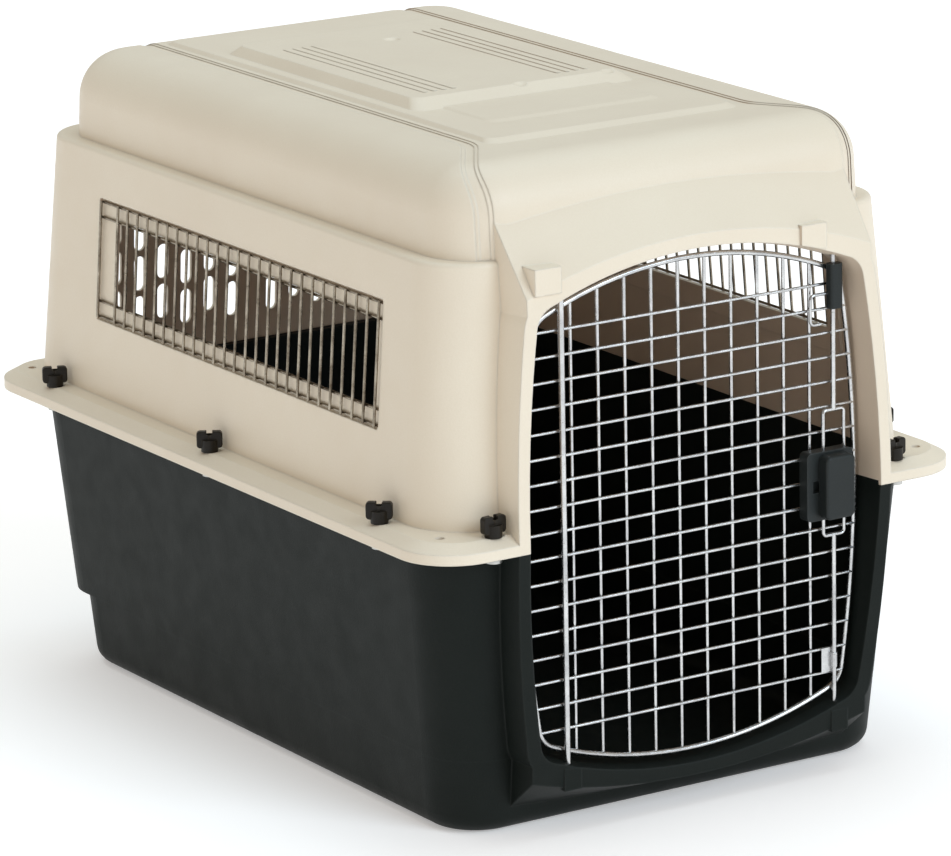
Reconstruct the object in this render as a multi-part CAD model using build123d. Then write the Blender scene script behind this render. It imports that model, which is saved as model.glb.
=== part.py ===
from build123d import *
import math
import os

# Pet transport carrier. All lengths are in millimetres, angles in degrees.
# X is the width, the doorway faces -Y, +Z is up and the floor is Z = 0.

# ---- overall -------------------------------------------------------------
FLANGE_HALF_WIDTH = 254.0
FLANGE_HALF_LENGTH = 362.5
FLANGE_CORNER = 47.0
WALL = 3.2

# ---- lower shell ---------------------------------------------------------
PARTING_Z = 241.0
LOWER_DRAFT = 5.0
LOWER_HALF_WIDTH = 228.0
LOWER_FRONT = -337.0
LOWER_REAR = 338.0
LOWER_CORNER = 56.0
HEEL_HEIGHT = 62.0
HEEL_REAR = 302.0
BASE_FILLET = 16.0
LOWER_FLANGE_THICK = 5.0
LOWER_FLANGE_INSET = 4.5

# ---- upper shell ---------------------------------------------------------
SKIRT_BOTTOM = 237.6
SKIRT_TOP = 246.0
SKIRT_THICK = 3.0
FLANGE_TOP = 252.5
FLANGE_SLOPE = 12.0
UPPER_DRAFT = 4.4
UPPER_HALF_WIDTH = 228.0
UPPER_FRONT = -336.0
UPPER_REAR = 347.0
UPPER_CORNER = 56.0
SHOULDER_Z = 459.0
SHOULDER_INSET = 13.0
DOME_DRAFT = 2.5
DOME_TOP = 530.0
DOME_CORNER = 50.0
DOME_FILLET = 40.0
SHOULDER_FILLET = 4.0
GROOVE_STEPS = ((13.0, 0.7), (7.0, 1.5))
GROOVE_FRONT_X = 170.0
GROOVE_ROOF_X = 129.0
DECK_HALF_WIDTH = 114.0
DECK_Y = (-232.0, 268.0)
DECK_RISE = 3.0
DECK_SLOPE = 5.0
APRON_HALF_WIDTH = 78.0
APRON_Y = (-178.0, -100.0)
APRON_RISE = 1.2
PANEL_HALF_WIDTH = 97.0
PANEL_Y = (-96.0, 182.0)
PANEL_RISE = 7.5
PANEL_SLOPE = 9.0
RIB_X = (50.0, 59.0, 68.0, 77.0)
RIB_Y = (-82.0, 140.0)
RIB_WIDTH = 4.4
RIB_HEIGHT = 0.5
DIMPLE_PLACES = ((18.0, 124.0), (3.0, -98.0), (88.0, -98.0))
DIMPLE_R = 7.0
DIMPLE_DEPTH = 2.4

# ---- doorway, given by the centre line of the door's border wire ----------
DOOR_MID_HALF = 157.5
DOOR_MID_Z = 243.0
DOOR_TOP_HALF = 143.5
DOOR_TOP_CORNER_Z = 411.0
DOOR_TOP_Z = 443.0
DOOR_LOW_HALF = 143.0
DOOR_LOW_CORNER_Z = 74.0
DOOR_LOW_Z = 44.5
DOOR_CORNER = 20.0
DOOR_Y = -337.0
COLLAR_FRONT = -362.5
COLLAR_BACK = -300.0
COLLAR_LEAN_UP = 2.0
COLLAR_LEAN_DOWN = 4.0
BROW_FRONT_ARCH = (161.0, 426.0, 458.0)
BROW_BACK_ARCH = (165.0, 516.0, 518.5)
BROW_BACK_Y = -294.0
BROW_FOOT = (412.0, 412.0)
SILL_FRONT_ARCH = (159.0, 58.0, 30.0)
SILL_BACK_ARCH = (160.0, 20.0, 15.0)
SILL_BACK_Y = -316.0
SILL_FOOT = (74.0, 74.0)
UPPER_BOSS_X = ((-155.0, -131.0), (93.0, 117.0))
UPPER_BOSS_Y = (-358.0, -335.0)
UPPER_BOSS_Z = (437.0, 458.0)
LOWER_BOSS_HALF = 8.0
LOWER_BOSS_Y = (-350.0, -325.0)
LOWER_BOSS_Z = (36.0, 54.0)

# ---- door wires ----------------------------------------------------------
BORDER_R = 2.2
UPRIGHT_R = 1.4
CROSS_R = 1.2
HINGE_R = 2.5
WELD_GAP = 0.05
CROSS_Y = DOOR_Y - 1.1
UPRIGHT_Y = CROSS_Y + CROSS_R + UPRIGHT_R + WELD_GAP
HINGE_X = -122.0
HINGE_Y = CROSS_Y - CROSS_R - HINGE_R - WELD_GAP
HINGE_LOW = 46.0
HINGE_HIGH = 446.0
UPRIGHT_COUNT = 10
UPRIGHT_FIRST = -109.5
UPRIGHT_PITCH = 25.0
CROSS_COUNT = 17
CROSS_FIRST = 83.0
CROSS_PITCH = 20.0
FIT = 0.06

# ---- latch ---------------------------------------------------------------
LATCH_R = 2.0
LATCH_X = 134.0
LATCH_Y = -342.2
LATCH_LEG_SPREAD = 10.0
LATCH_LEG_R = 1.5
ROD_UPPER_YOKE = 301.0
ROD_UPPER_TIP = 429.0
ROD_LOWER_YOKE = 198.0
ROD_LOWER_TIP = 57.0
HOUSING_X = (103.0, 147.0)
HOUSING_Y = (-350.0, CROSS_Y - CROSS_R - WELD_GAP)
HOUSING_Z = (214.0, 270.0)
HANDLE_X = (114.0, 142.0)
HANDLE_TONGUE_X = (117.0, 122.0)
HANDLE_Y = (-361.5, HOUSING_Y[0] - 0.4)
HANDLE_Z = (216.0, 268.0)
HANDLE_GUIDE = 9.0
HANDLE_TRAVEL = 8.0
SLEEVE_X = (128.0, 140.0)
SLEEVE_Z = (384.0, 420.0)
SLEEVE_Y = (-348.5, HOUSING_Y[1])
KEEPER_Z = (84.0, 104.0)
KEEPER_R = 4.2

# ---- side windows --------------------------------------------------------
WINDOW_Y = (-234.0, 217.0)
WINDOW_Z = (317.0, 420.0)
WINDOW_RECESS = 2.6
WINDOW_LEDGE = 15.0
WINDOW_FRONT_LEDGE = 11.0
WINDOW_REAR_LEDGE = 25.0
WINDOW_CORNER = 3.0
PAD_THICK = 3.0
PAD_RIM = 5.0
GRILLE_R = 1.2
GRILLE_BARS = 27
GRILLE_WIDE_BAY = 29.0
GRILLE_EDGE = 3.0
GRILLE_ROW_GAP = 13.0

# ---- rear vents ----------------------------------------------------------
VENT_COLUMNS = 6
VENT_FIRST_X = 20.0
VENT_PITCH_X = 23.2
VENT_ROWS = 3
VENT_LOW_Z = 281.0
VENT_STAGGER = 8.0
VENT_PITCH_Z = 36.0
VENT_WIDTH = 11.0
VENT_HEIGHT = 31.0

# ---- fasteners -----------------------------------------------------------
NUT_SIDE_X = 239.5
NUT_SIDE_Y = (-262.0, 0.0, 262.0)
NUT_END_X = 190.0
NUT_FRONT_Y = -347.5
NUT_SEAT_R = 8.6
NUT_HUB_R = 7.0
NUT_HUB_HEIGHT = 10.0
NUT_WING_REACH = 10.5
NUT_WING_THICK = 6.4
NUT_WING_GAP = 2.4
NUT_WEB = 4.2
NUT_WING_HEIGHT = 14.0
NUT_FIRST_TURN = -45.0
NUT_TURN_STEP = 7.0
BOLT_R = 3.0
BOLT_TOP = FLANGE_TOP + 9.0
BOLT_HEAD_R = 6.5
BOLT_HEAD_HEIGHT = 4.0
TIE_X = 226.0
TIE_Y = 328.0
TIE_R = 3.5


def section(half_width, y_front, y_rear, corner, z):
    """A rounded rectangle lying flat at height z."""
    middle = (y_front + y_rear) / 2
    return Pos(0, middle, z) * RectangleRounded(2 * half_width, y_rear - y_front, corner)


def drafted(half_width, y_front, y_rear, corner, z_wide, z_narrow, draft):
    """A rounded block that narrows evenly from z_wide to z_narrow."""
    inset = abs(z_narrow - z_wide) * math.tan(math.radians(draft))
    wide = section(half_width, y_front, y_rear, corner, z_wide)
    narrow = section(half_width - inset, y_front + inset, y_rear - inset, corner - inset / 2, z_narrow)
    return loft([wide, narrow], ruled=True)


def draft_inset(draft, height):
    """How far a drafted wall has moved in after a given rise."""
    return height * math.tan(math.radians(draft))


def plane_facing_front(y):
    """A drawing plane at depth y whose drawing axes are X and Z."""
    return Plane(origin=(0, y, 0), x_dir=(1, 0, 0), z_dir=(0, -1, 0))


def door_outline(side, top, low, corner=DOOR_CORNER):
    """The doorway's barrel outline, grown by side, top and low."""
    top_right = (DOOR_TOP_HALF + side, DOOR_TOP_CORNER_Z + top)
    top_left = (-DOOR_TOP_HALF - side, DOOR_TOP_CORNER_Z + top)
    low_right = (DOOR_LOW_HALF + side, DOOR_LOW_CORNER_Z - low)
    low_left = (-DOOR_LOW_HALF - side, DOOR_LOW_CORNER_Z - low)
    edges = [
        ThreePointArc(top_left, (0, DOOR_TOP_Z + top), top_right),
        ThreePointArc(top_right, (DOOR_MID_HALF + side, DOOR_MID_Z), low_right),
        ThreePointArc(low_right, (0, DOOR_LOW_Z - low), low_left),
        ThreePointArc(low_left, (-DOOR_MID_HALF - side, DOOR_MID_Z), top_left),
    ]
    face = make_face(edges)
    return fillet(face.vertices(), corner)


def outline_at(y, side, top, low, corner=DOOR_CORNER):
    """The grown doorway outline as an upright face at depth y."""
    return plane_facing_front(y) * door_outline(side, top, low, corner)


def doorway_tunnel():
    """The clear way through the collar: flared in front, straight behind."""
    flare = loft([outline_at(COLLAR_FRONT - 1, 8.5, 12, 10.5), outline_at(DOOR_Y, 5.5, 7.5, 7.0)], ruled=True)
    straight = extrude(outline_at(DOOR_Y, 5.5, 7.5, 7.0), amount=DOOR_Y - COLLAR_BACK + 10)
    return flare + straight


def collar():
    """The raised surround of the doorway, before it is cut at the parting."""
    front = outline_at(COLLAR_FRONT, 18.5, 17, 17, DOOR_CORNER + 6)
    rear = outline_at(COLLAR_BACK, 20, 17, 17, DOOR_CORNER + 6)
    return loft([front, rear], ruled=True)


def arch_face(y, arch, foot_z):
    """An upright face at depth y, between an arch and a straight foot.

    The arch is its half width, the height of its ends and the height of its middle.
    """
    half_width, end_z, middle_z = arch
    curve = ThreePointArc((-half_width, end_z), (0, middle_z), (half_width, end_z))
    sides = Polyline(
        (half_width, end_z), (half_width, foot_z), (-half_width, foot_z), (-half_width, end_z)
    )
    return plane_facing_front(y) * make_face([*curve.edges(), *sides.edges()])


def flare(front_arch, back_arch, y_back, foot):
    """The body that eases the collar's lip back into the wall behind it."""
    front = arch_face(COLLAR_FRONT, front_arch, foot[0])
    back = arch_face(y_back, back_arch, foot[1])
    return loft([front, back], ruled=True)


def lean_cutter(z_start, lean, upward):
    """A wedge that makes the collar's front lean back, away from the parting."""
    reach = 260.0
    direction = 1 if upward else -1
    depth = reach * math.tan(math.radians(lean))
    corners = [
        (COLLAR_FRONT - 20, z_start),
        (COLLAR_FRONT, z_start),
        (COLLAR_FRONT + depth, z_start + direction * reach),
        (COLLAR_FRONT - 20, z_start + direction * reach),
    ]
    face = make_face(Polyline(*corners, close=True))
    wedge = extrude(Plane.YZ * face, amount=200, both=True)
    return wedge


def nut_places():
    """Every wing nut's X and Y."""
    places = [(side * NUT_SIDE_X, y) for side in (-1, 1) for y in NUT_SIDE_Y]
    places += [(side * NUT_END_X, NUT_FRONT_Y) for side in (-1, 1)]
    return places


def tie_places():
    """Centres of the four tie-down holes at the corners of the flange."""
    return [(sx * TIE_X, sy * TIE_Y) for sx in (-1, 1) for sy in (-1, 1)]


def post(x, y, radius, z_low, z_high):
    """An upright cylinder between two heights."""
    return Pos(x, y, (z_low + z_high) / 2) * Cylinder(radius, z_high - z_low)


def block(x_range, y_range, z_range):
    """A box given by its limits on each axis."""
    size = [limits[1] - limits[0] for limits in (x_range, y_range, z_range)]
    middle = [(limits[1] + limits[0]) / 2 for limits in (x_range, y_range, z_range)]
    return Pos(*middle) * Box(*size)


def lower_body(grow, floor_z, fillet_r):
    """The lower shell's outer block, or its inside when grow is negative."""
    drop = PARTING_Z - HEEL_HEIGHT
    inset = draft_inset(LOWER_DRAFT, drop)
    half = LOWER_HALF_WIDTH + grow
    front = LOWER_FRONT - grow
    rear = LOWER_REAR + grow
    corner = LOWER_CORNER + grow
    step_z = HEEL_HEIGHT + (0 if grow == 0 else WALL)
    upper = drafted(half, front, rear, corner, PARTING_Z, step_z, LOWER_DRAFT)
    lower = drafted(
        half - inset, front + inset, HEEL_REAR + grow, corner - inset / 2, step_z + 1, floor_z, LOWER_DRAFT
    )
    bottom_edges = lower.edges().group_by(Axis.Z)[0]
    return upper + fillet(bottom_edges, fillet_r)


def bottom_shell():
    """The lower shell: drafted tub with a heel, flange and the lower half of the surround."""
    outside = lower_body(0, 0, BASE_FILLET)
    flange = extrude(
        section(
            FLANGE_HALF_WIDTH - LOWER_FLANGE_INSET,
            LOWER_FLANGE_INSET - FLANGE_HALF_LENGTH,
            FLANGE_HALF_LENGTH - LOWER_FLANGE_INSET,
            FLANGE_CORNER - LOWER_FLANGE_INSET,
            PARTING_Z - LOWER_FLANGE_THICK,
        ),
        amount=LOWER_FLANGE_THICK,
    )
    surround = collar() + flare(SILL_FRONT_ARCH, SILL_BACK_ARCH, SILL_BACK_Y, SILL_FOOT)
    surround -= lean_cutter(PARTING_Z, COLLAR_LEAN_DOWN, False)
    surround &= block((-200, 200), (-400, 0), (0, PARTING_Z))
    notch_y = SKIRT_THICK + 0.1 - FLANGE_HALF_LENGTH
    surround -= block((-200, 200), (-400, notch_y), (SKIRT_BOTTOM - 0.3, PARTING_Z + 1))
    shell = outside + flange + surround
    for x in (HINGE_X, LATCH_X):
        shell += block((x - LOWER_BOSS_HALF, x + LOWER_BOSS_HALF), LOWER_BOSS_Y, LOWER_BOSS_Z)
    shell -= lower_body(-WALL, WALL, BASE_FILLET - WALL)
    shell -= doorway_tunnel()
    for x, y in nut_places():
        shell -= post(x, y, BOLT_R, 0, PARTING_Z + 1)
    for x, y in tie_places():
        shell -= post(x, y, TIE_R, 0, PARTING_Z + 1)
    shell -= post(HINGE_X, HINGE_Y, HINGE_R + FIT, HINGE_LOW - 1, DOOR_MID_Z)
    shell -= post(LATCH_X, LATCH_Y, LATCH_R + 0.4, ROD_LOWER_TIP - 1, DOOR_MID_Z)
    return shell


def dome(grow, z_low):
    """The raised roof above the shoulder, or its inside."""
    rise = SHOULDER_Z - PARTING_Z
    inset = draft_inset(UPPER_DRAFT, rise)
    half = UPPER_HALF_WIDTH - inset - SHOULDER_INSET + grow
    front = UPPER_FRONT + inset - grow
    rear = UPPER_REAR - inset - SHOULDER_INSET + grow
    block_ = drafted(half, front, rear, DOME_CORNER + grow, z_low, DOME_TOP + grow, DOME_DRAFT)
    top_edges = block_.edges().group_by(Axis.Z)[-1]
    return fillet(top_edges, DOME_FILLET + grow)


def raised(half_width, y_range, slope, z_low, rise):
    """A low raised field with sloping sides, sunk a little into the roof."""
    wide = section(half_width + slope, y_range[0] - 2 * slope, y_range[1] + slope, 12, z_low - 0.5)
    narrow = section(half_width, y_range[0], y_range[1], 9, z_low + rise)
    return loft([wide, narrow], ruled=True)


def roof_relief():
    """Deck, apron, centre panel and ribs of the roof, with the dimples cut in."""
    deck_top = DOME_TOP + DECK_RISE
    panel_top = deck_top + PANEL_RISE
    relief = raised(DECK_HALF_WIDTH, DECK_Y, DECK_SLOPE, DOME_TOP, DECK_RISE)
    relief += raised(APRON_HALF_WIDTH, APRON_Y, DECK_SLOPE, deck_top, APRON_RISE)
    relief += raised(PANEL_HALF_WIDTH, PANEL_Y, PANEL_SLOPE, deck_top, PANEL_RISE)
    for side in (-1, 1):
        for x in RIB_X:
            middle = side * x
            limits = (middle - RIB_WIDTH / 2, middle + RIB_WIDTH / 2)
            rib = block(limits, RIB_Y, (panel_top - 0.5, panel_top + RIB_HEIGHT))
            relief += fillet(rib.edges().filter_by(Axis.Z), RIB_WIDTH / 2 - 0.1)
    sphere_r = (DIMPLE_R**2 + DIMPLE_DEPTH**2) / (2 * DIMPLE_DEPTH)
    for x, y in DIMPLE_PLACES:
        relief -= Pos(x, y, panel_top + sphere_r - DIMPLE_DEPTH) * Sphere(sphere_r)
    return relief


def roof_grooves():
    """The stepped grooves that part the dome's side bulges from its front and deck."""
    cuts = []
    for width, depth in GROOVE_STEPS:
        kept = dome(-depth, SHOULDER_Z - 5)
        for side in (-1, 1):
            front_x = side * GROOVE_FRONT_X
            roof_x = side * GROOVE_ROOF_X
            points = [(front_x, -340), (front_x, -292), (roof_x, -228), (roof_x, 340)]
            band = trace(FilletPolyline(*points, radius=40), width)
            cuts.append(Pos(0, 0, SHOULDER_Z + 0.5) * extrude(band, amount=120) - kept)
    return cuts


def window_plane():
    """Drawing plane on the left wall: X runs to the front, Z points outwards."""
    middle_z = sum(WINDOW_Z) / 2
    wall_x = UPPER_HALF_WIDTH - draft_inset(UPPER_DRAFT, middle_z - PARTING_Z)
    lean = math.radians(UPPER_DRAFT)
    origin = (-wall_x, sum(WINDOW_Y) / 2, middle_z)
    return Plane(origin=origin, x_dir=(0, -1, 0), z_dir=(-math.cos(lean), 0, math.sin(lean)))


def window_size():
    """Width and height of a window along the leaning wall."""
    return WINDOW_Y[1] - WINDOW_Y[0], (WINDOW_Z[1] - WINDOW_Z[0]) / math.cos(math.radians(UPPER_DRAFT))


def window_slab(width, height, depth_low, depth_high, corner):
    """A rounded slab in the left wall's plane between two depths."""
    face = window_plane() * Pos(0, 0, depth_low) * RectangleRounded(width, height, corner)
    return extrude(face, amount=depth_high - depth_low)


def window_pad():
    """The thicker patch of wall inside, behind a window."""
    width, height = window_size()
    return window_slab(width + 2 * PAD_RIM, height + 2 * PAD_RIM, -WALL - PAD_THICK, -WALL + 0.5, 6)


def window_cut():
    """The shallow recess that the grille sits in, and the opening through it."""
    width, height = window_size()
    recess = window_slab(width, height, -WINDOW_RECESS, 4, WINDOW_CORNER)
    clear_width = width - WINDOW_FRONT_LEDGE - WINDOW_REAR_LEDGE
    clear_height = height - 2 * WINDOW_LEDGE
    through = window_slab(clear_width, clear_height, -40, 4, WINDOW_CORNER)
    forward = (WINDOW_REAR_LEDGE - WINDOW_FRONT_LEDGE) / 2
    return recess + Pos(0, -forward, 0) * through


def vent_slots():
    """The two groups of staggered slots in the rear wall."""
    slots = []
    for side in (-1, 1):
        for column in range(VENT_COLUMNS):
            x = side * (VENT_FIRST_X + VENT_PITCH_X * column)
            lift = VENT_STAGGER if column % 2 else 0
            for row in range(VENT_ROWS):
                z = VENT_LOW_Z + lift + VENT_PITCH_Z * row
                shape = Rot(0, 0, 90) * SlotOverall(VENT_HEIGHT, VENT_WIDTH)
                slots.append(extrude(plane_facing_front(UPPER_REAR + 10) * Pos(x, z) * shape, amount=60))
    return slots


def top_shell():
    """The upper shell: drafted walls, domed roof, flange and the upper half of the surround."""
    walls = drafted(
        UPPER_HALF_WIDTH, UPPER_FRONT, UPPER_REAR, UPPER_CORNER, PARTING_Z, SHOULDER_Z, UPPER_DRAFT
    )
    walls = fillet(walls.edges().group_by(Axis.Z)[-1], SHOULDER_FILLET)
    skirt = extrude(
        section(FLANGE_HALF_WIDTH, -FLANGE_HALF_LENGTH, FLANGE_HALF_LENGTH, FLANGE_CORNER, SKIRT_BOTTOM),
        amount=SKIRT_TOP - SKIRT_BOTTOM,
    )
    slope = loft(
        [
            section(FLANGE_HALF_WIDTH, -FLANGE_HALF_LENGTH, FLANGE_HALF_LENGTH, FLANGE_CORNER, SKIRT_TOP),
            section(
                FLANGE_HALF_WIDTH - FLANGE_SLOPE, FLANGE_SLOPE - FLANGE_HALF_LENGTH,
                FLANGE_HALF_LENGTH - FLANGE_SLOPE, FLANGE_CORNER - FLANGE_SLOPE, FLANGE_TOP,
            ),
        ],
        ruled=True,
    )
    surround = collar() + flare(BROW_FRONT_ARCH, BROW_BACK_ARCH, BROW_BACK_Y, BROW_FOOT)
    surround -= lean_cutter(SKIRT_TOP, COLLAR_LEAN_UP, True)
    surround &= block((-200, 200), (-400, 0), (SKIRT_BOTTOM, DOME_TOP - 5))
    raised_roof = dome(0, SHOULDER_Z)
    for groove in roof_grooves():
        raised_roof -= groove
    outside = walls + raised_roof + roof_relief() + skirt + slope + surround
    for boss_x in UPPER_BOSS_X:
        outside += block(boss_x, UPPER_BOSS_Y, UPPER_BOSS_Z)
    under_flange = extrude(
        section(
            FLANGE_HALF_WIDTH - SKIRT_THICK,
            SKIRT_THICK - FLANGE_HALF_LENGTH,
            FLANGE_HALF_LENGTH - SKIRT_THICK,
            FLANGE_CORNER - SKIRT_THICK, SKIRT_BOTTOM - 1,
        ),
        amount=PARTING_Z - SKIRT_BOTTOM + 1,
    )
    inside = drafted(
        UPPER_HALF_WIDTH - WALL, UPPER_FRONT + WALL, UPPER_REAR - WALL, UPPER_CORNER - WALL,
        PARTING_Z - 5, SHOULDER_Z - WALL, UPPER_DRAFT,
    )
    inside += dome(-WALL, SHOULDER_Z - 30)
    pad = window_pad()
    inside -= pad
    inside -= mirror(pad, about=Plane.YZ)
    shell = outside - under_flange - inside - doorway_tunnel()
    cut = window_cut()
    shell = shell - cut - mirror(cut, about=Plane.YZ)
    for slot in vent_slots():
        shell -= slot
    for x, y in nut_places():
        shell -= post(x, y, BOLT_R, PARTING_Z - 1, FLANGE_TOP + 5)
        shell -= post(x, y, NUT_SEAT_R, FLANGE_TOP - 0.5, FLANGE_TOP + 40)
    for x, y in tie_places():
        shell -= post(x, y, TIE_R, PARTING_Z - 1, FLANGE_TOP + 5)
    shell -= post(HINGE_X, HINGE_Y, HINGE_R + FIT, DOOR_MID_Z, HINGE_HIGH + 1)
    shell -= post(LATCH_X, LATCH_Y, LATCH_R + 0.4, DOOR_MID_Z, ROD_UPPER_TIP + 1)
    return shell


def border_wire():
    """The closed wire round the door."""
    path = outline_at(DOOR_Y, 0, 0, 0).face().outer_wire()
    start = path @ 0
    profile = Plane(origin=start, z_dir=path % 0) * Circle(BORDER_R)
    return sweep(profile, path=path)


def inside_border(solid):
    """Trim wires to the inside of the door's outline."""
    hollow = extrude(outline_at(DOOR_Y - 6, 0, 0, 0), amount=-12)
    return solid & hollow


def upright_wires(border):
    """The upright wires of the door, cut to its frame."""
    wires = []
    for i in range(UPRIGHT_COUNT):
        x = UPRIGHT_FIRST + UPRIGHT_PITCH * i
        wire = post(x, UPRIGHT_Y, UPRIGHT_R, DOOR_LOW_Z, DOOR_TOP_Z)
        wires.append(inside_border(wire) - border)
    return wires


def cross_wires(border):
    """The cross wires of the door, cut to its frame."""
    wires = []
    length = 2 * DOOR_MID_HALF
    for i in range(CROSS_COUNT):
        z = CROSS_FIRST + CROSS_PITCH * i
        wire = Pos(0, CROSS_Y, z) * Rot(0, 90, 0) * Cylinder(CROSS_R, length)
        wires.append(inside_border(wire) - border)
    return wires


def hinge_rod():
    """The long rod that the door turns on."""
    return post(HINGE_X, HINGE_Y, HINGE_R, HINGE_LOW, HINGE_HIGH)


def swept_wire(points, bend, radius):
    """A round wire along straight runs joined by bends."""
    path = FilletPolyline(*points, radius=bend)
    profile = Plane(origin=path @ 0, z_dir=path % 0) * Circle(radius)
    return sweep(profile, path=path)


def latch_rod(yoke_z, tip_z, leg_end_z):
    """A latch rod: an upright with a two-legged yoke at the housing."""
    left = LATCH_X - LATCH_LEG_SPREAD
    right = LATCH_X + LATCH_LEG_SPREAD
    yoke = swept_wire(
        [
            (left, LATCH_Y, leg_end_z),
            (left, LATCH_Y, yoke_z),
            (right, LATCH_Y, yoke_z),
            (right, LATCH_Y, leg_end_z),
        ],
        3, LATCH_LEG_R,
    )
    low, high = sorted((yoke_z, tip_z))
    shaft = post(LATCH_X, LATCH_Y, LATCH_R, low, high)
    tip = shaft.edges().filter_by(GeomType.CIRCLE).sort_by(Axis.Z)[0 if tip_z < yoke_z else -1]
    return yoke + chamfer(tip, 0.8)


def latch_housing():
    """The fixed back of the latch, with slots for the yokes and a guide channel."""
    body = block(HOUSING_X, HOUSING_Y, HOUSING_Z)
    body = fillet(body.edges().filter_by(Axis.Y), 4)
    for side in (-1, 1):
        x = LATCH_X + side * LATCH_LEG_SPREAD
        body -= post(x, LATCH_Y, LATCH_LEG_R + 0.4, HOUSING_Z[0] - 1, HOUSING_Z[1] + 1)
    middle = sum(HOUSING_Z) / 2
    slot_z = (middle - HANDLE_GUIDE / 2 - 0.4, middle + HANDLE_GUIDE / 2 + 0.4)
    slot_x = (HANDLE_TONGUE_X[0] - HANDLE_TRAVEL - 0.4, HANDLE_TONGUE_X[1] + 0.4)
    body -= block(slot_x, (HOUSING_Y[0] - 1, HOUSING_Y[0] + 4.4), slot_z)
    return body


def latch_handle():
    """The squeeze handle in front of the housing, with its guide tongue."""
    body = block(HANDLE_X, HANDLE_Y, HANDLE_Z)
    body = fillet(body.edges().filter_by(Axis.Y), 5)
    front = body.faces().sort_by(Axis.Y)[0]
    body = fillet(front.edges(), 2.5)
    middle = sum(HANDLE_Z) / 2
    tongue_z = (middle - HANDLE_GUIDE / 2, middle + HANDLE_GUIDE / 2)
    tongue = block(HANDLE_TONGUE_X, (HANDLE_Y[1] - 1, HOUSING_Y[0] + 4), tongue_z)
    return body + tongue


def latch_sleeve():
    """The plastic guide that holds the upper rod to the door."""
    body = block(SLEEVE_X, SLEEVE_Y, SLEEVE_Z)
    body = fillet(body.edges().filter_by(Axis.Z), 3)
    return body - post(LATCH_X, LATCH_Y, LATCH_R + FIT, SLEEVE_Z[0] - 1, SLEEVE_Z[1] + 1)


def latch_keeper():
    """The metal guide of the lower rod: a ring with a plate on the cross wires."""
    low, high = KEEPER_Z
    ring = post(LATCH_X, LATCH_Y, KEEPER_R - 1.4, low + 4, high - 4)
    plate = block((LATCH_X - 11, LATCH_X - 1), (HOUSING_Y[1] - 1.2, HOUSING_Y[1]), (low, high))
    body = ring + plate
    return body - post(LATCH_X, LATCH_Y, LATCH_R + FIT, low - 1, high + 1)


def sleeve_clip():
    """The wire hook that ties the sleeve to the door's wires."""
    x_end = SLEEVE_X[0]
    points = [
        (x_end, LATCH_Y, 396),
        (x_end - 16, LATCH_Y, 396),
        (x_end - 16, LATCH_Y, 372),
        (x_end - 6, LATCH_Y, 372),
    ]
    return swept_wire(points, 4, 1.3)


def grille_plane(depth):
    """The left window's plane moved outwards by depth."""
    return window_plane().offset(depth)


def grille_rod(depth, u, v, length, along_u, radius):
    """One straight wire of a grille, lying in the left window."""
    turn = Rot(0, 90, 0) if along_u else Rot(90, 0, 0)
    return grille_plane(depth) * Pos(u, v, 0) * turn * Cylinder(radius, length)


def grille_rows():
    """The long wires: two near the top and two near the bottom of a window."""
    width, height = window_size()
    depth = GRILLE_R - WINDOW_RECESS
    outer = height / 2 - GRILLE_EDGE
    inner = outer - GRILLE_ROW_GAP
    length = width - 2 * GRILLE_EDGE
    return [grille_rod(depth, 0, v, length, True, GRILLE_R) for v in (outer, inner, -inner, -outer)]


def grille_bar_places():
    """Bar positions along the window, the wide bay being at its rear end."""
    width, _ = window_size()
    first = -width / 2 + GRILLE_EDGE + GRILLE_R
    second = first + GRILLE_WIDE_BAY
    last = width / 2 - GRILLE_EDGE - GRILLE_R
    pitch = (last - second) / (GRILLE_BARS - 2)
    return [first] + [second + pitch * i for i in range(GRILLE_BARS - 1)]


def grille_bars():
    """The upright bars of a window grille, outside its long wires."""
    _, height = window_size()
    depth = GRILLE_R - WINDOW_RECESS + 2 * GRILLE_R + WELD_GAP
    length = height - 2 * GRILLE_EDGE + 2 * GRILLE_R
    return [grille_rod(depth, u, 0, length, False, GRILLE_R) for u in grille_bar_places()]


def wing_nut(x, y, turn):
    """A wing nut whose wings stand at an angle to X."""
    seat = FLANGE_TOP - 0.5 + 0.1
    hub = post(0, 0, NUT_HUB_R, seat, seat + NUT_HUB_HEIGHT)
    half = NUT_WING_THICK / 2
    wings_z = (seat + 3, seat + 3 + NUT_WING_HEIGHT)
    wings = block((-NUT_WING_REACH, NUT_WING_REACH), (-half, half), wings_z)
    wings = fillet(wings.edges().filter_by(Axis.Y), 3)
    wings = fillet(wings.edges(), 1)
    gap = block((-NUT_WING_GAP, NUT_WING_GAP), (-5, 5), (seat + NUT_HUB_HEIGHT + NUT_WEB, seat + 20))
    nut = hub + (wings - gap)
    nut -= post(0, 0, BOLT_R + FIT, seat - 1, seat + 20)
    return Pos(x, y, 0) * Rot(0, 0, turn) * nut


def closure_bolts():
    """One bolt under each wing nut, with its head below the lower flange."""
    under = PARTING_Z - LOWER_FLANGE_THICK
    bolts = []
    for x, y in nut_places():
        head = post(x, y, BOLT_HEAD_R, under - BOLT_HEAD_HEIGHT, under)
        bolts.append(head + post(x, y, BOLT_R, under, BOLT_TOP))
    return bolts


def save(name, shape):
    """Write one node; a list is written as a group of separate solids."""
    if isinstance(shape, list):
        shape = Compound(children=shape)
    export_step(shape, f"parts/{name}.step")


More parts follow.
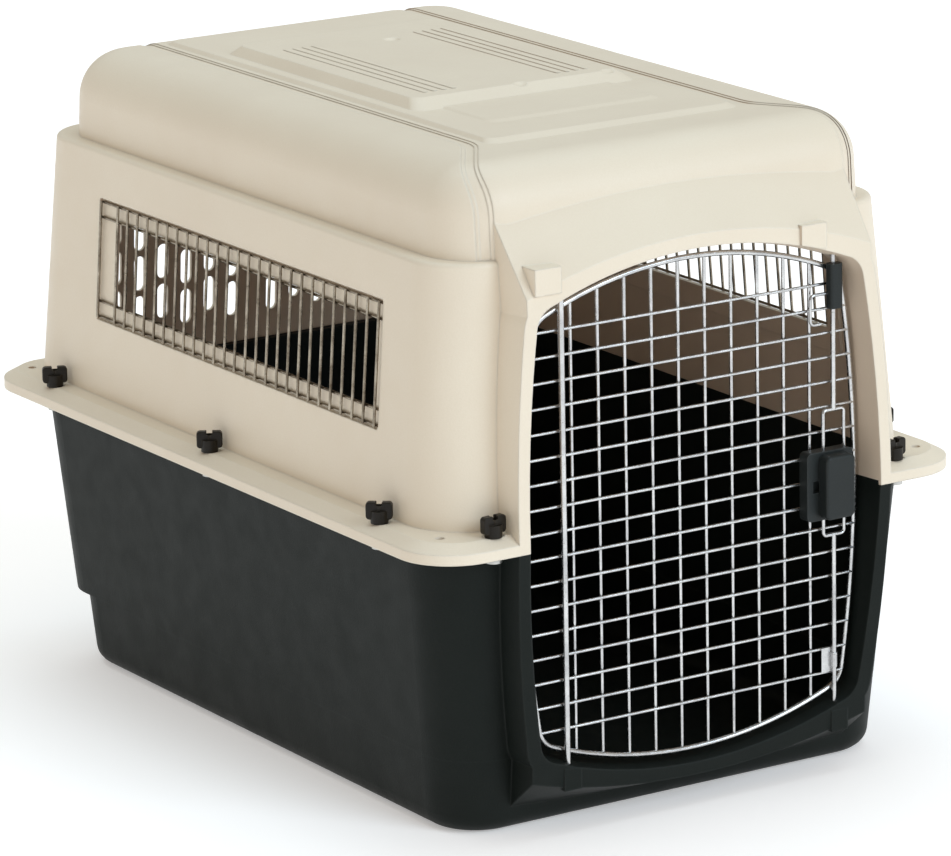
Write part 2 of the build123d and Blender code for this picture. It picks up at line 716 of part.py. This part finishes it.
def main():
    """Builds every piece and writes one file for each."""
    os.makedirs("parts", exist_ok=True)
    save("bottom_shell", bottom_shell())
    save("top_shell", top_shell())
    save("closure_bolts", closure_bolts())
    for number, (x, y) in enumerate(nut_places(), start=1):
        save(f"wing_nut_{number}", wing_nut(x, y, NUT_FIRST_TURN + NUT_TURN_STEP * number))
    rows = grille_rows()
    bars = grille_bars()
    save("left_grille_rows", rows)
    save("left_grille_bars", bars)
    save("right_grille_rows", [mirror(rod, about=Plane.YZ) for rod in rows])
    save("right_grille_bars", [mirror(rod, about=Plane.YZ) for rod in bars])
    border = border_wire()
    save("door_border_wire", border)
    save("door_upright_wires", upright_wires(border))
    save("door_cross_wires", cross_wires(border))
    save("door_hinge_rod", hinge_rod())
    save("latch_housing", latch_housing())
    save("latch_handle", latch_handle())
    save("latch_sleeve", latch_sleeve())
    save("latch_keeper", latch_keeper())
    save("sleeve_clip", sleeve_clip())
    save("latch_rod_upper", latch_rod(ROD_UPPER_YOKE, ROD_UPPER_TIP, HOUSING_Z[1] - 8))
    save("latch_rod_lower", latch_rod(ROD_LOWER_YOKE, ROD_LOWER_TIP, HOUSING_Z[0] + 8))


main()
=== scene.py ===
"""The looks of a pet transport carrier: its finishes, the light, the floor and the camera.

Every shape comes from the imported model. Lengths are metres and angles are degrees.
"""

import math

import bpy
from mathutils import Matrix, Vector

# The camera, in the carrier's own frame.
CAMERA_AT = (-2.44376, -3.89962, 1.46010)
CAMERA_AZIMUTH = -32.23
CAMERA_ELEVATION = 14.93
CAMERA_ROLL = -1.12
LENS_MM = 216.94
SENSOR_MM = 36.0

# Light: irradiance of each sun and the direction that it shines from.
SUNS = {
    "key": {
        "toward": (0.30, -1.00, 0.55),
        "energy": 1.50,
        "colour": (0.70, 0.86, 1.00),
        "angle": 35.0,
    },
    "top": {
        "toward": (0.10, 0.25, 1.00),
        "energy": 1.06,
        "colour": (0.65, 0.88, 1.00),
        "angle": 55.0,
    },
}
WORLD_COLOUR = (1.00, 0.93, 0.83)
WORLD_STRENGTH = 0.50

FLOOR_HALF = 16.0
FLOOR_GAP = 0.0004
FLOOR_COLOUR = (0.97, 0.93, 0.92)
FLOOR_GLOW = 0.32

# How much of the painted shade, a brown darkening of the faces that look inward, the plastic has at
# the doorway's front edge.
REVEAL_SHADE_SHARE = 0.6

# The noise patterns in the plastic: features to the metre, and layers of finer detail.
CLOUDS = (9.0, 3.0)
SPECKLES = (700.0, 1.0)
PLASTIC_GLOSS = (45.0, 4.0)
RIPPLE = (14.0, 1.0)

# The noise patterns in the metal, in the same two numbers.
HAZE = (60.0, 3.0)
SPOTS = (420.0, 2.0)
METAL_GLOSS = (240.0, 3.0)
DRAWING_LINES = (1500.0, 2.0)

# The part of each noise's range that is spread over the whole of its effect.
CLOUD_SPAN = (0.35, 0.65)
HAZE_SPAN = (0.35, 0.70)
SPOT_SPAN = (0.66, 0.74)
PLAIN_SPAN = (0.3, 0.7)

# The most that a pattern may show over the colour under it.
SPECKLE_SHARE = 0.35
SPOT_SHARE = 0.5

# How far the rounded normal leans from the flat one where an edge begins and where it is full, as
# the cosine of the angle between them.
EDGE_COSINES = (0.999, 0.93)

# Metres from the object's middle out along a face's normal, where the painted shade on inward faces
# begins and where it is full. They are below zero on a face that looks towards the middle.
INWARD_REACH = (-0.02, -0.06)

# The colour sockets of a Mix node.
MIX_FIRST = 6
MIX_SECOND = 7
MIX_RESULT = 2

PLASTIC_METALLIC = 0.0
METAL_METALLIC = 1.0
METAL_SPECULAR = 0.5
FLOOR_ROUGHNESS = 0.9
FLOOR_SPECULAR = 0.1
CAMERA_CLIP_END = 100.0
BEVEL_SAMPLES = 4

# Which finish each CAD node takes. A node that isn't named here is cream plastic.
DARK_NODES = ("bottom_shell",)
LATCH_NODES = ("latch_housing", "latch_handle", "latch_sleeve")
BRIGHT_NODES = ("latch_keeper", "sleeve_clip")
BOLT_NODES = ("closure_bolts",)
NUT_PREFIX = "wing_nut_"
WIRE_PREFIXES = ("door_", "latch_rod_")


def node(tree, kind, **settings):
    """A new shader node with its properties set."""
    made = tree.nodes.new(kind)
    for name, value in settings.items():
        setattr(made, name, value)
    return made


def blank(name, metallic, specular):
    """A new material, with its tree, its shader and the object's own coordinates in metres."""
    material = bpy.data.materials.new(name)
    material.use_nodes = True
    tree = material.node_tree
    shader = tree.nodes["Principled BSDF"]
    shader.inputs["Metallic"].default_value = metallic
    shader.inputs["Specular IOR Level"].default_value = specular
    place = node(tree, "ShaderNodeTexCoord").outputs["Object"]
    return material, tree, shader, place


def noise(tree, place, scale, detail=2.0, stretch=(1, 1, 1)):
    """Noise with `scale` features to the metre, stretched along any axis whose factor is below one."""
    mapping = node(tree, "ShaderNodeMapping")
    mapping.inputs["Scale"].default_value = stretch
    texture = node(tree, "ShaderNodeTexNoise")
    texture.inputs["Scale"].default_value = scale
    texture.inputs["Detail"].default_value = detail
    tree.links.new(place, mapping.inputs["Vector"])
    tree.links.new(mapping.outputs["Vector"], texture.inputs["Vector"])
    return texture.outputs["Fac"]


def mapped(tree, value, from_range, to_range):
    """The value moved from one range to another, and held inside it."""
    ranged = node(tree, "ShaderNodeMapRange", clamp=True)
    ranged.inputs["From Min"].default_value = from_range[0]
    ranged.inputs["From Max"].default_value = from_range[1]
    ranged.inputs["To Min"].default_value = to_range[0]
    ranged.inputs["To Max"].default_value = to_range[1]
    tree.links.new(value, ranged.inputs["Value"])
    return ranged.outputs["Result"]


def mixed(tree, factor, first, second):
    """A colour between two, each of which is a colour or another node's socket."""
    mix = node(tree, "ShaderNodeMix", data_type="RGBA")
    tree.links.new(factor, mix.inputs["Factor"])
    for socket, colour in ((mix.inputs[MIX_FIRST], first), (mix.inputs[MIX_SECOND], second)):
        if isinstance(colour, bpy.types.NodeSocket):
            tree.links.new(colour, socket)
        else:
            socket.default_value = (*colour, 1.0)
    return mix.outputs[MIX_RESULT]


def soft_edges(tree, radius):
    """A normal rounded over the sharp edges, and a mask that is 1 along them."""
    bevel = node(tree, "ShaderNodeBevel", samples=BEVEL_SAMPLES)
    bevel.inputs["Radius"].default_value = radius
    flat = node(tree, "ShaderNodeNewGeometry").outputs["Normal"]
    agree = node(tree, "ShaderNodeVectorMath", operation="DOT_PRODUCT")
    tree.links.new(bevel.outputs["Normal"], agree.inputs[0])
    tree.links.new(flat, agree.inputs[1])
    edge = mapped(tree, agree.outputs["Value"], EDGE_COSINES, (0.0, 1.0))
    return bevel.outputs["Normal"], edge


def facing_inside(tree, place, middle):
    """1 on the faces that look towards the middle of the object, and 0 on those that look away."""
    outward = node(tree, "ShaderNodeVectorMath", operation="SUBTRACT")
    tree.links.new(place, outward.inputs[0])
    outward.inputs[1].default_value = middle
    normal = node(tree, "ShaderNodeTexCoord").outputs["Normal"]
    agree = node(tree, "ShaderNodeVectorMath", operation="DOT_PRODUCT")
    tree.links.new(outward.outputs["Vector"], agree.inputs[0])
    tree.links.new(normal, agree.inputs[1])
    return mapped(tree, agree.outputs["Value"], INWARD_REACH, (0.0, 1.0))


def depth_behind(tree, place, near_y, far_y):
    """The share of painted shade on inward faces: the front-edge share in front of near_y, 1 behind
    far_y, and an even rise between them.
    """
    parts = node(tree, "ShaderNodeSeparateXYZ")
    tree.links.new(place, parts.inputs["Vector"])
    return mapped(tree, parts.outputs["Y"], (near_y, far_y), (REVEAL_SHADE_SHARE, 1.0))


def product(tree, first, second):
    """Two values multiplied."""
    times = node(tree, "ShaderNodeMath", operation="MULTIPLY")
    tree.links.new(first, times.inputs[0])
    tree.links.new(second, times.inputs[1])
    return times.outputs["Value"]


def bumped(tree, height, depth, normal):
    """The normal with a height pattern of that depth in metres laid over it."""
    bump = node(tree, "ShaderNodeBump")
    bump.inputs["Distance"].default_value = depth
    tree.links.new(height, bump.inputs["Height"])
    if normal is not None:
        tree.links.new(normal, bump.inputs["Normal"])
    return bump.outputs["Normal"]


def moulded_plastic(name, look):
    """Moulded plastic: a fine spark grain, faint flow clouds, edges rubbed a little, and, where the
    look gives a shade colour, painted shade darkening the faces that look inward.
    """
    material, tree, shader, place = blank(name, PLASTIC_METALLIC, look["specular"])
    normal, edge = soft_edges(tree, look["edge_radius"])
    clouds = mapped(tree, noise(tree, place, *CLOUDS), CLOUD_SPAN, (0.0, 1.0))
    speckle = mapped(tree, noise(tree, place, *SPECKLES), PLAIN_SPAN, (0.0, SPECKLE_SHARE))
    body = mixed(tree, clouds, look["low"], look["high"])
    body = mixed(tree, speckle, body, look["speckle"])
    rubbed = mapped(tree, edge, (0.0, 1.0), (0.0, look["edge_share"]))
    body = mixed(tree, rubbed, body, look["edge"])
    # Painted shade: faces that look towards the middle turn brown, less so at the doorway's front
    # edge.
    if "inner" in look:
        inside = facing_inside(tree, place, look["middle"])
        share = product(tree, inside, depth_behind(tree, place, *look["reveal_y"]))
        body = mixed(tree, share, body, look["inner"])
    tree.links.new(body, shader.inputs["Base Color"])
    gloss = mapped(tree, noise(tree, place, *PLASTIC_GLOSS), PLAIN_SPAN, look["roughness"])
    tree.links.new(gloss, shader.inputs["Roughness"])
    normal = bumped(tree, noise(tree, place, look["grain"]), look["grain_depth"], normal)
    normal = bumped(tree, noise(tree, place, *RIPPLE), look["ripple_depth"], normal)
    tree.links.new(normal, shader.inputs["Normal"])
    return material


def plated_wire(name, look):
    """Bright plated steel: drawing lines, a faint haze and small dull spots."""
    material, tree, shader, place = blank(name, METAL_METALLIC, METAL_SPECULAR)
    haze = mapped(tree, noise(tree, place, *HAZE), HAZE_SPAN, (0.0, 1.0))
    body = mixed(tree, haze, look["bright"], look["dull"])
    spots = mapped(tree, noise(tree, place, *SPOTS), SPOT_SPAN, (0.0, SPOT_SHARE))
    body = mixed(tree, spots, body, look["spot"])
    tree.links.new(body, shader.inputs["Base Color"])
    gloss = mapped(tree, noise(tree, place, *METAL_GLOSS), PLAIN_SPAN, look["roughness"])
    tree.links.new(gloss, shader.inputs["Roughness"])
    lines = noise(tree, place, *DRAWING_LINES, look["lines"])
    tree.links.new(bumped(tree, lines, look["line_depth"], None), shader.inputs["Normal"])
    return material


PLASTICS = {
    "cream_plastic": {
        "low": (0.790, 0.690, 0.560), "high": (0.812, 0.716, 0.584),
        "speckle": (0.765, 0.660, 0.522),
        "edge": (0.88, 0.82, 0.72), "edge_share": 0.55, "edge_radius": 0.0022,
        "roughness": (0.36, 0.50), "specular": 0.36,
        "grain": 900.0, "grain_depth": 0.00012, "ripple_depth": 0.0010,
        # Painted shade: the brown that the shell's inward faces and the doorway's reveal are darkened
        # to.
        "inner": (0.66, 0.510, 0.385), "middle": (0.0, 0.0, 0.245), "reveal_y": (-0.350, -0.295),
    },
    "dark_plastic": {
        "low": (0.0066, 0.0092, 0.0078), "high": (0.0078, 0.0106, 0.0092),
        "speckle": (0.010, 0.013, 0.0115),
        "edge": (0.040, 0.046, 0.043), "edge_share": 0.40, "edge_radius": 0.0022,
        "roughness": (0.46, 0.54), "specular": 0.13,
        "grain": 850.0, "grain_depth": 0.00016, "ripple_depth": 0.0012,
    },
    "latch_plastic": {
        "low": (0.014, 0.017, 0.017), "high": (0.018, 0.022, 0.022),
        "speckle": (0.026, 0.030, 0.030),
        "edge": (0.10, 0.11, 0.11), "edge_share": 0.45, "edge_radius": 0.0010,
        "roughness": (0.34, 0.48), "specular": 0.24,
        "grain": 1400.0, "grain_depth": 0.00006, "ripple_depth": 0.0003,
    },
    "nut_plastic": {
        "low": (0.007, 0.005, 0.003), "high": (0.010, 0.007, 0.004),
        "speckle": (0.018, 0.013, 0.008),
        "edge": (0.070, 0.055, 0.036), "edge_share": 0.40, "edge_radius": 0.0008,
        "roughness": (0.32, 0.46), "specular": 0.24,
        "grain": 1500.0, "grain_depth": 0.00005, "ripple_depth": 0.0002,
    },
}

METALS = {
    # Painted shade: the grille is the same plated wire as the door, darkened and browned to stand in
    # for the shade it sits in.
    "grille_wire": {
        "bright": (0.40, 0.35, 0.28), "dull": (0.13, 0.10, 0.07), "spot": (0.05, 0.035, 0.025),
        "roughness": (0.18, 0.32), "lines": (1.0, 1.0, 1.0), "line_depth": 0.00002,
    },
    "wire": {
        "bright": (0.70, 0.70, 0.70), "dull": (0.50, 0.50, 0.51), "spot": (0.26, 0.25, 0.23),
        "roughness": (0.16, 0.32), "lines": (1.0, 1.0, 0.03), "line_depth": 0.00002,
    },
    "bolt_steel": {
        "bright": (0.60, 0.59, 0.57), "dull": (0.44, 0.43, 0.41), "spot": (0.24, 0.22, 0.19),
        "roughness": (0.30, 0.46), "lines": (1.0, 1.0, 1.0), "line_depth": 0.00003,
    },
}


def finish_of(name):
    """The finish that a CAD node takes, by its name in PLASTICS or METALS."""
    if "_grille_" in name:
        return "grille_wire"
    if name in DARK_NODES:
        return "dark_plastic"
    if name in LATCH_NODES:
        return "latch_plastic"
    if name in BRIGHT_NODES or name.startswith(WIRE_PREFIXES):
        return "wire"
    if name in BOLT_NODES:
        return "bolt_steel"
    if name.startswith(NUT_PREFIX):
        return "nut_plastic"
    return "cream_plastic"


def dress(nodes):
    """Gives every CAD node its finish."""
    finishes = {name: moulded_plastic(name, look) for name, look in PLASTICS.items()}
    finishes.update({name: plated_wire(name, look) for name, look in METALS.items()})
    for name, obj in nodes.items():
        finish = finish_of(name)
        obj.data.materials.clear()
        obj.data.materials.append(finishes[finish])


def add_floor():
    """A wide pale floor just under the carrier."""
    mesh = bpy.data.meshes.new("floor")
    corners = [
        (sx * FLOOR_HALF, sy * FLOOR_HALF, -FLOOR_GAP)
        for sx, sy in ((-1, -1), (1, -1), (1, 1), (-1, 1))
    ]
    mesh.from_pydata(corners, [], [(0, 1, 2, 3)])
    floor = bpy.data.objects.new("floor", mesh)
    bpy.context.scene.collection.objects.link(floor)
    material = bpy.data.materials.new("floor_paper")
    material.use_nodes = True
    shader = material.node_tree.nodes["Principled BSDF"]
    shader.inputs["Base Color"].default_value = (*FLOOR_COLOUR, 1.0)
    shader.inputs["Roughness"].default_value = FLOOR_ROUGHNESS
    shader.inputs["Specular IOR Level"].default_value = FLOOR_SPECULAR
    shader.inputs["Emission Color"].default_value = (1.0, 1.0, 1.0, 1.0)
    shader.inputs["Emission Strength"].default_value = FLOOR_GLOW
    mesh.materials.append(material)


def add_lights():
    """Soft suns, and a world that fills the shade with a warmer light."""
    for name, sun in SUNS.items():
        light = bpy.data.lights.new(name, "SUN")
        light.energy = sun["energy"]
        light.color = sun["colour"]
        light.angle = math.radians(sun["angle"])
        lamp = bpy.data.objects.new(name, light)
        lamp.rotation_euler = Vector(sun["toward"]).to_track_quat("Z", "Y").to_euler()
        bpy.context.scene.collection.objects.link(lamp)
    world = bpy.data.worlds.new("studio")
    world.use_nodes = True
    background = world.node_tree.nodes["Background"]
    background.inputs["Color"].default_value = (*WORLD_COLOUR, 1.0)
    background.inputs["Strength"].default_value = WORLD_STRENGTH
    bpy.context.scene.world = world


def add_camera():
    """The camera, from its place and its three angles."""
    data = bpy.data.cameras.new("camera")
    data.sensor_fit = "HORIZONTAL"
    data.sensor_width = SENSOR_MM
    data.lens = LENS_MM
    data.clip_end = CAMERA_CLIP_END
    camera = bpy.data.objects.new("camera", data)
    turn = Matrix.Rotation(math.radians(CAMERA_AZIMUTH), 4, "Z")
    tilt = Matrix.Rotation(math.radians(90 - CAMERA_ELEVATION), 4, "X")
    roll = Matrix.Rotation(math.radians(CAMERA_ROLL), 4, "Z")
    camera.matrix_world = Matrix.Translation(CAMERA_AT) @ turn @ tilt @ roll
    bpy.context.scene.collection.objects.link(camera)
    bpy.context.scene.camera = camera


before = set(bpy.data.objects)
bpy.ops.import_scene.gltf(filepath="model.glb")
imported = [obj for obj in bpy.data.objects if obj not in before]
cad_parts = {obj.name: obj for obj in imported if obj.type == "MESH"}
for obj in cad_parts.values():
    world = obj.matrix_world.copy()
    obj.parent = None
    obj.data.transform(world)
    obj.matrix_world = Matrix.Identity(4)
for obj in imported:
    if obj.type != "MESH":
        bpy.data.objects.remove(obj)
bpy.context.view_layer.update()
dress(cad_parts)
add_floor()
add_lights()
add_camera()
bpy.context.scene.view_settings.view_transform = "Standard"
